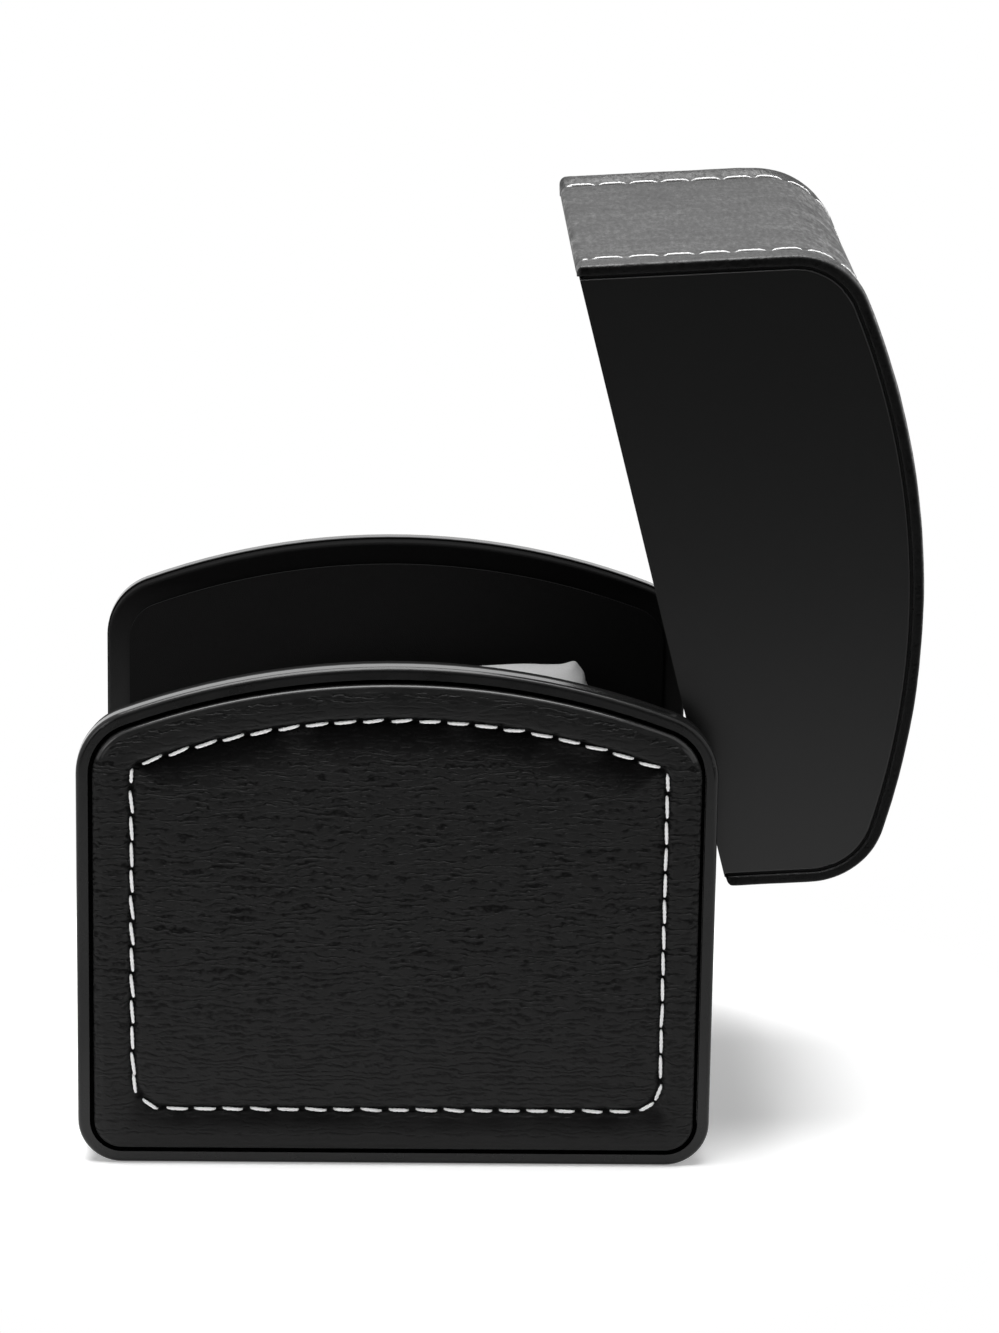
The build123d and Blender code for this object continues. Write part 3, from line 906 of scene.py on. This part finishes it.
def buildPad(name, side, seed):
    low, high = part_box("pad_leather_" + name)
    front = max(abs(low.x), abs(high.x)) / mm
    form = bmesh.new()
    rings, hollows = padRings(side, seed, front)
    last = extrudeRings(form, rings, hollows)[1]
    bmesh.ops.contextual_create(form, geom=last)
    bmesh.ops.recalc_face_normals(form, faces=form.faces)
    if sum(face.normal.x * face.calc_area() for face in form.faces) * side < 0:
        bmesh.ops.reverse_faces(form, faces=form.faces)
    piece = meshObject("pad_cover_" + name, form)
    smoothly(piece)
    finishPiece(piece, "cheek_leather", "case")
    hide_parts("pad_leather_" + name)
    seam = bmesh.new()
    chance = random.Random(seed)
    loop, run, middles = seamLine()
    slants = [slant for count, start, pitch, slant in pad["seamSides"] for step in range(count)]
    spread, extra, span = pad["slantSpread"], pad["lengthSpread"], pad["cornerSpan"]
    height = front + pad["proud"] - thread["floor"] * pad["channelDepth"]
    height += thread["width"] * thread["stand"]
    for distance, slant in zip(middles, slants):
        (y, z), way = along(loop, run, distance)
        tilt = math.radians(slant + chance.uniform(-spread, spread))
        turned = Vector((0, way.x, way.y)) @ Matrix.Rotation(tilt, 3, "X")
        length = pad["stitchLength"] + pad["sideExtra"] * abs(way.y) + chance.uniform(-extra, extra)
        before, after = (along(loop, run, distance + step)[1] for step in (-span, span))
        length *= 1 - pad["cornerShare"] * (1 - before.dot(after))
        addStitch(seam, Vector((side * height, y, z)), turned, Vector((side, 0, 0)), length)
    sewn = meshObject("pad_seam_" + name, seam)
    smoothly(sewn)
    sewn.data.materials.append(finishes["thread"])
    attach(sewn, "case")


buildPad("right", 1, 11.0)
buildPad("left", -1, 29.0)
print("pads and their seams done")


# Front and rear wall: board wrapped in leathercloth, rounded at the foot as the cheeks are
wall = {
    "inset": 0.1,
    "board": 46.8,
    "lining": 46.0,
    "ends": 39.3,
    "skin": 0.8,
    "gap": 0.4,
    "foldRound": 0.5,
    "bead": 2.7,
    "footSteps": 10,
    "foldSteps": 5,
    "beadSteps": 14,
    "endMargin": 0.1,
    "smoothTop": 3.5,  # no creases from here to the top, nor on the round foot
    "notchHalf": 18.9,
    "notchLow": 2.5,
    "pocketLow": 11.05,
    "pocketBack": 47.85,
}


def partingHeight(y):
    return outline["partingRear"] - (boxHalf - y) * math.tan(math.radians(outline["partingTilt"]))


def wallFoot():
    middle = boxHalf - outline["foot"]
    radius = outline["foot"] - wall["inset"]
    start = -math.acos((wall["board"] - middle) / radius)
    foot = arcPoints((middle, outline["foot"]), radius, start, 0, wall["footSteps"])
    return foot + [(middle + radius, outline["foot"])]


def frontSection():
    bend = wall["foldRound"]
    outer, inner = boxHalf - wall["inset"] - bend, wall["lining"] + bend
    tops = [partingHeight(-out) - wall["gap"] - bend for out in (outer, inner)]
    section = wallFoot() + [(outer + bend, tops[0] - wall["smoothTop"])]
    section += arcPoints((outer, tops[0]), bend, 0, math.pi / 2, wall["foldSteps"])
    section += arcPoints((inner, tops[1]), bend, math.pi / 2, math.pi, wall["foldSteps"])
    under = tops[1] + bend - wall["skin"]
    return section + [(wall["lining"], under), (wall["board"], under)]


def rearSection(notched):
    pinY, pinZ = pin.y / mm, pin.z / mm
    face = boxHalf - wall["inset"]
    if notched:
        low, pocket = pinZ - wall["notchLow"], pinZ - wall["pocketLow"]
        back = wall["pocketBack"]
        return wallFoot() + [(face, low), (back, low), (back, pocket), (wall["board"], pocket)]
    start = math.acos((face - pinY) / wall["bead"])
    section = wallFoot() + [(face, pinZ - wall["notchLow"])]
    section += arcPoints((pinY, pinZ), wall["bead"], start, math.pi, wall["beadSteps"])
    return section + [(wall["lining"], pinZ), (wall["board"], pinZ)]


def buildWall(name, side, parts):
    form = bmesh.new()
    hollow = form.verts.layers.float.new("hollow")
    margin = wall["endMargin"]
    for start, end, section in parts:
        stations = (start, start + margin, end - margin, end)
        addTube(form, [[(x * mm, side * out * mm, z * mm) for out, z in section] for x in stations])
    top = max(vert.co.z for vert in form.verts) - wall["smoothTop"] * mm
    for vert in form.verts:
        vert[hollow] = -1.0 if vert.co.z > top or vert.co.z < outline["foot"] * mm else 0.0
    piece = meshObject(name + "_wall", form)
    for face in piece.data.polygons:
        face.use_smooth = max(abs(share) for share in face.normal) < 0.999
    finishPiece(piece, "cheek_leather", "case")
    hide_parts(name + "_leather", name + "_board")


ends, notch = wall["ends"], wall["notchHalf"]
buildWall("front", -1, [(-ends, ends, frontSection())])
sides = [(-ends, -notch, rearSection(False)), (notch, ends, rearSection(False))]
buildWall("rear", 1, sides + [(-notch, notch, rearSection(True))])
print("walls done")


# Lid cover: the leathercloth band round the lid, folded over both rims
band = {
    "halfWidth": 38.3,
    "proud": 0.2,
    "edgeRound": 0.6,
    "edgeSteps": 6,
    "rim": 1.65,
    "rimRound": 0.3,
    "rimCut": 0.1,
    "counts": (36, 20, 90, 16),  # points on the front, a shoulder, the arch and the rear
    "field": (0, 5, 10, 15, 20, 24, 27, 29),  # stations across the band, and about its seams
    "seamSteps": (0.25, 0.5, 0.75, 1.1, 1.6),
    "border": (2.6, 3.6),
    "borderEnd": 0.9,
    "fold": 0.5,
    "skin": 0.8,
    "seamFromEdge": 5.3,
    "lean": 0.8,
    "channelDepth": 0.25,
    "channelWidth": 0.6,
    "roll": {1: (0.30, 2.2, 1.5), -1: (1.30, 3.0, 1.25)},  # height, place and width of each border's roll
    "rollEnd": (30.0, 44.0),
    "swell": (0.12, 2.2, 1.5),
    "pucker": (0.06, 1.4),
    "hole": (0.18, 0.5),
    "waves": ((41.0, 0.05, 9.0), (43.0, 0.03, 2.6)),  # seed, height, and size
    "reliefTo": 0.7,
    "endRound": 1.3,
    "endRings": 6,
    "endNarrows": 0.5,
    "rows": {1: (5.0, 5.5), -1: (3.5, 5.22)},  # first stitch and pitch of each seam
    "stitchGap": 0.3,
    "turnStitch": (1.1, 2.0, 0.45, 0.6),  # place, length, sink and tip of the stitch at the band's end
    "rowMargin": 1.5,
    "slantSpread": 0.05,
    "wrap": 0.6,
    "wrapBevel": 0.2,
    "depth": 4.0,
    "plateInner": 35.9,
    "leafHalf": 18.2,
}


def bandLine():
    half = boxHalf + band["proud"]
    shoulder = outline["lidShoulder"]
    centre, across, high, lean = shoulderOf(half, shoulder, 0)
    quarter = math.pi / 2
    front, corner, arch, rear = band["counts"]
    line = linePoints((-half, partingHeight(-half)), (-half, high), front)
    line += arcPoints((-across, high), shoulder, 2 * quarter, quarter + lean, corner)
    line += arcPoints((0, centre), outline["arch"], quarter + lean, quarter - lean, arch)
    line += arcPoints((across, high), shoulder, quarter - lean, 0, corner)
    line += linePoints((half, high), (half, partingHeight(half)), rear)
    return line + [(half, partingHeight(half))]


def bandSection():
    edge, bend, rim = band["halfWidth"], band["edgeRound"], band["rim"]
    seam, steps = edge - band["seamFromEdge"], band["seamSteps"]
    flat = list(band["field"]) + [seam - step for step in reversed(steps)] + [seam]
    flat += [seam + step for step in steps + band["border"]] + [edge - bend - band["borderEnd"]]
    half = [(x, 0.0) for x in flat]
    turns = quarterTurns(band["edgeSteps"])
    half += [(edge - bend * (1 - math.sin(turn)), bend * (1 - math.cos(turn))) for turn in turns]
    half += [(edge, rim - band["rimRound"]), (edge - band["rimCut"], rim - band["rimCut"])]
    half += [(edge - band["rimRound"], rim)]
    half += [(edge - band["fold"], height) for height in (rim, band["skin"])]
    other = [(-x, inset) for x, inset in reversed(half)]
    return half + other[:-1]


def bandLean(x):
    return band["lean"] * (0.5 - 0.5 * x / band["halfWidth"])


def bandRelief(x, run):
    away = abs(x) - (band["halfWidth"] - band["seamFromEdge"])
    side = 1 if x > 0 else -1
    first, pitch = band["rows"][side]
    roll, crest, width = band["roll"][side]
    start, end = band["rollEnd"]
    roll -= (roll - band["roll"][1][0]) * min(max((run - start) / (end - start), 0), 1)
    phase = (run - first) / pitch
    sink = band["channelDepth"] * math.exp(-(away / band["channelWidth"]) ** 2)
    swell, middle, reach = band["swell"]
    rolled = roll * math.exp(-((away - crest) / width) ** 2)
    sink -= rolled + swell * math.exp(-((away + middle) / reach) ** 2)
    pucker, reach = band["pucker"]
    sink += pucker * math.cos(math.tau * phase) * math.exp(-abs(away) / reach)
    deep, wide = band["hole"]
    sink += deep * dimple(phase, pitch, away, wide)
    for seed, deep, size in band["waves"]:
        sink += deep * ripple(seed, x, run, size)
    return sink


def bandStations(run):
    bend = band["endRound"]
    turns = quarterTurns(band["endRings"])[:-1]
    start = [(bend * (1 - math.cos(turn)), bend * (1 - math.sin(turn))) for turn in turns]
    middle = [(distance, 0.0) for distance in run if bend < distance < run[-1] - bend]
    finish = [(run[-1] - distance, drop) for distance, drop in reversed(start)]
    return start + middle + finish


def bandRings():
    line, run = measured(bandLine(), False)
    section = bandSection()
    rings = []
    for distance, drop in bandStations(run):
        (y, z), way = along(line, run, distance)
        inward = Vector((way.y, -way.x))
        ring = []
        for x, inset in section:
            sink = max(inset, drop) + (bandRelief(x, distance) if inset < band["reliefTo"] else 0)
            sink -= bandLean(x) * (1 - min(inset / band["rim"], 1.0))
            wide = math.copysign(min(abs(x), band["halfWidth"] - band["endNarrows"] * drop), x)
            ring.append(opening @ (Vector((wide, y + inward.x * sink, z + inward.y * sink)) * mm))
        rings.append(ring)
    return rings, line, run


def addBandStitch(seam, line, run, x, distance, length, chance, sink=0.0, tip=0.0):
    (y, z), way = along(line, run, distance)
    (ya, za), (yb, zb) = (along(line, run, distance + step)[0] for step in (-length / 2, length / 2))
    bend = (Vector((y, z)) - Vector(((ya + yb) / 2, (za + zb) / 2))).length
    out = Vector((0, -way.y, way.x))
    lift = bandLean(x) + thread["width"] * thread["stand"] - thread["floor"] * band["channelDepth"] - sink
    centre = opening @ ((Vector((x, y, z)) + out * lift) * mm) / mm
    slant = band["slantSpread"]
    forward = Vector((chance.uniform(-slant, slant), way.x, way.y)) + out * math.tan(tip)
    turn = openTurn.to_3x3()
    upright = (out - Vector((0, way.x, way.y)) * math.tan(tip)).normalized()
    addStitch(seam, centre, turn @ forward.normalized(), turn @ upright, length, bend)


# A wrapped bar on the lid's slanted edge, placed as the closed lid has it and then turned open
def addBar(form, xLow, xHigh, yLow, yHigh):
    tilt = math.radians(outline["partingTilt"])
    middle = (yLow + yHigh) / 2
    size = ((xHigh - xLow) * mm, (yHigh - yLow) / math.cos(tilt) * mm, band["wrap"] * mm)
    lift = partingHeight(middle) + band["wrap"] / 2 / math.cos(tilt)
    place = Matrix.Translation(Vector(((xLow + xHigh) / 2, middle, lift)) * mm)
    place = opening @ place @ Matrix.Rotation(tilt, 4, "X") @ Matrix.Diagonal((*size, 1))
    made = bmesh.ops.create_cube(form, size=1.0, matrix=place)["verts"]
    edges = list({edge for vert in made for edge in vert.link_edges})
    values = {"affect": "EDGES", "segments": 3, "profile": 0.5, "material": -1}
    bmesh.ops.bevel(form, geom=edges, offset=band["wrapBevel"] * mm, offset_type="OFFSET", **values)


def buildLidCover():
    rings, line, run = bandRings()
    form = bmesh.new()
    extrudeRings(form, rings)
    bmesh.ops.holes_fill(form, edges=form.edges, sides=0)
    bmesh.ops.recalc_face_normals(form, faces=form.faces)
    outer = boxHalf + band["proud"] - band["skin"]
    inner = boxHalf + band["proud"] - band["depth"]
    wide, leafHalf = band["plateInner"], band["leafHalf"]
    addBar(form, -wide, wide, -outer, -inner)
    addBar(form, -wide, -leafHalf, inner, outer)
    addBar(form, leafHalf, wide, inner, outer)
    piece = meshObject("lid_cover", form)
    smoothly(piece)
    finishPiece(piece, "lid_leather", "lid")
    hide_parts("lid_leather")
    seam = bmesh.new()
    chance = random.Random(5)
    place, length, sink, tip = band["turnStitch"]
    for side, (first, pitch) in band["rows"].items():
        x = side * (band["halfWidth"] - band["seamFromEdge"])
        addBandStitch(seam, line, run, x, place, length, chance, sink, tip)
        for step in range(int((run[-1] - band["rowMargin"] * first) / pitch) + 1):
            addBandStitch(seam, line, run, x, first + step * pitch, pitch - band["stitchGap"], chance)
    sewn = meshObject("lid_seams", seam)
    smoothly(sewn)
    sewn.data.materials.append(finishes["lid_thread"])
    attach(sewn, "lid")


buildLidCover()
print("lid cover and its seams done")


# Pillow: a plush cushion, sewn along its two ends, with the corners of the cover standing up as small ears
pillow = {
    "endDrop": 0.7,
    "tilt": 3.5,
    "softness": 3.3,
    "endSquareness": 4.5,
    "settle": 2.75,
    "tiltRise": 0.3,
    "earLength": 1.3,
    "earSharpness": 7,
    "earReach": 16,
    "ridge": 0.35,
    "ridgeDip": 1.6,
    "ridgeRings": 5,
    "around": 160,
    "stations": 46,
    "endRings": 12,
    "endLeft": 0.3,
    "pucker": 0.06,
    "puckerCount": 18,
    "puckerWander": (3, 0.7),  # how far, and over what size
    "puckerReach": 4.0,
    "crease": 0.3,
    "creaseRun": (2.4, 4, 1.3),  # along the pillow, round it, and the size
    "held": 1.2,
    "pressure": 4.0,
    "puffFrames": 20,
    "puffCap": 0.4,
}


def pillowPoint(share, turn, low, high):
    middle = (low + high) / 2
    half = (high - low) / 2
    drop = pillow["endDrop"] * share ** 2
    power = 2 / (pillow["softness"] + pillow["endSquareness"] * share ** 6)
    across, up = math.cos(turn), math.sin(turn)
    y = (half.y - drop) * math.copysign(abs(across) ** power, across)
    z = (half.z - drop - pillow["settle"]) * math.copysign(abs(up) ** power, up)
    corner = abs(2 * across * up) ** pillow["earSharpness"] * share ** pillow["earReach"]
    z += math.copysign(corner * pillow["earLength"], z)
    z += max(up, 0) ** pillow["tiltRise"] * y * math.tan(math.radians(pillow["tilt"]))
    gather = math.exp(-(1 - abs(share)) * half.x / pillow["puckerReach"])
    wander, size = pillow["puckerWander"]
    fold = math.cos(pillow["puckerCount"] * turn + wander * ripple(61.0, across, up, size))
    inward = 1 - (pillow["pucker"] * gather * (1 + fold)) / half.z
    length, girth, size = pillow["creaseRun"]
    wave = pillow["crease"] * ripple(67.0, share * length + girth * across, girth * up, size)
    place = Vector((share * half.x, y * inward + wave * across, z * inward + wave * up))
    return place + Vector((0, middle.y, middle.z))


def pillowRings(low, high):
    half = (high.x - low.x) / 2
    turns = [math.tau * step / pillow["around"] for step in range(pillow["around"])]
    rings = []
    for step in range(pillow["stations"] + 1):
        share = -math.cos(math.pi * step / pillow["stations"])
        rings.append([pillowPoint(share, turn, low, high) * mm for turn in turns])
    centre = Vector((0, (low.y + high.y) / 2, (low.z + high.z) / 2))
    caps = {}
    ridge, dip = pillow["ridge"], pillow["ridgeDip"]
    for side in (-1, 1):
        seam = [pillowPoint(side, turn, low, high) for turn in turns]
        spokes = [Vector((0, point.y, point.z)) - centre for point in seam]
        caps[side] = []
        for step in range(1, pillow["endRings"] + 1):
            share = 1 - step / (pillow["endRings"] + pillow["endLeft"])
            bulge = ridge - dip * ridge * math.sin(math.pi * min(step / pillow["ridgeRings"], 1)) ** 2
            flat = Vector((side * (half - ridge * 2 + bulge), centre.y, centre.z))
            caps[side].append([(flat + spoke * share) * mm for spoke in spokes])
    return list(reversed(caps[-1])) + rings + caps[1]


def puffPillow(piece, pinned):
    group = piece.vertex_groups.new(name="held")
    group.add(pinned, 1.0, "REPLACE")
    rest = [vert.co.copy() for vert in piece.data.vertices]
    cloth = piece.modifiers.new("puff", "CLOTH")
    cloth.settings.effector_weights.gravity = 0
    cloth.settings.use_pressure = True
    cloth.settings.uniform_pressure_force = pillow["pressure"]
    cloth.settings.vertex_group_mass = "held"
    cloth.settings.quality = 6
    cloth.point_cache.frame_start = 1
    cloth.point_cache.frame_end = pillow["puffFrames"]
    for moment in range(1, pillow["puffFrames"] + 1):
        bpy.context.scene.frame_set(moment)
    shaped = piece.evaluated_get(bpy.context.evaluated_depsgraph_get()).data
    moved = [vert.co.copy() for vert in shaped.vertices]
    piece.modifiers.remove(cloth)
    bpy.context.scene.frame_set(1)
    for vert, start, end in zip(piece.data.vertices, rest, moved):
        step = end - start
        vert.co = start + step * min(1.0, pillow["puffCap"] * mm / max(step.length, 1e-9))
    piece.vertex_groups.remove(group)


def buildPillow():
    low, high = (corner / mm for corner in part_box("pillow_cover"))
    form = bmesh.new()
    first, last = extrudeRings(form, pillowRings(low, high))
    bmesh.ops.contextual_create(form, geom=last)
    bmesh.ops.contextual_create(form, geom=first)
    bmesh.ops.recalc_face_normals(form, faces=form.faces)
    piece = meshObject("pillow", form)
    smoothly(piece)
    edge = (high.x - pillow["held"]) * mm
    puffPillow(piece, [vert.index for vert in piece.data.vertices if abs(vert.co.x) > edge])
    finishPiece(piece, "pillow_fabric", "case")
    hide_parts("pillow_cover", "pillow_core")


buildPillow()
print("pillow done")
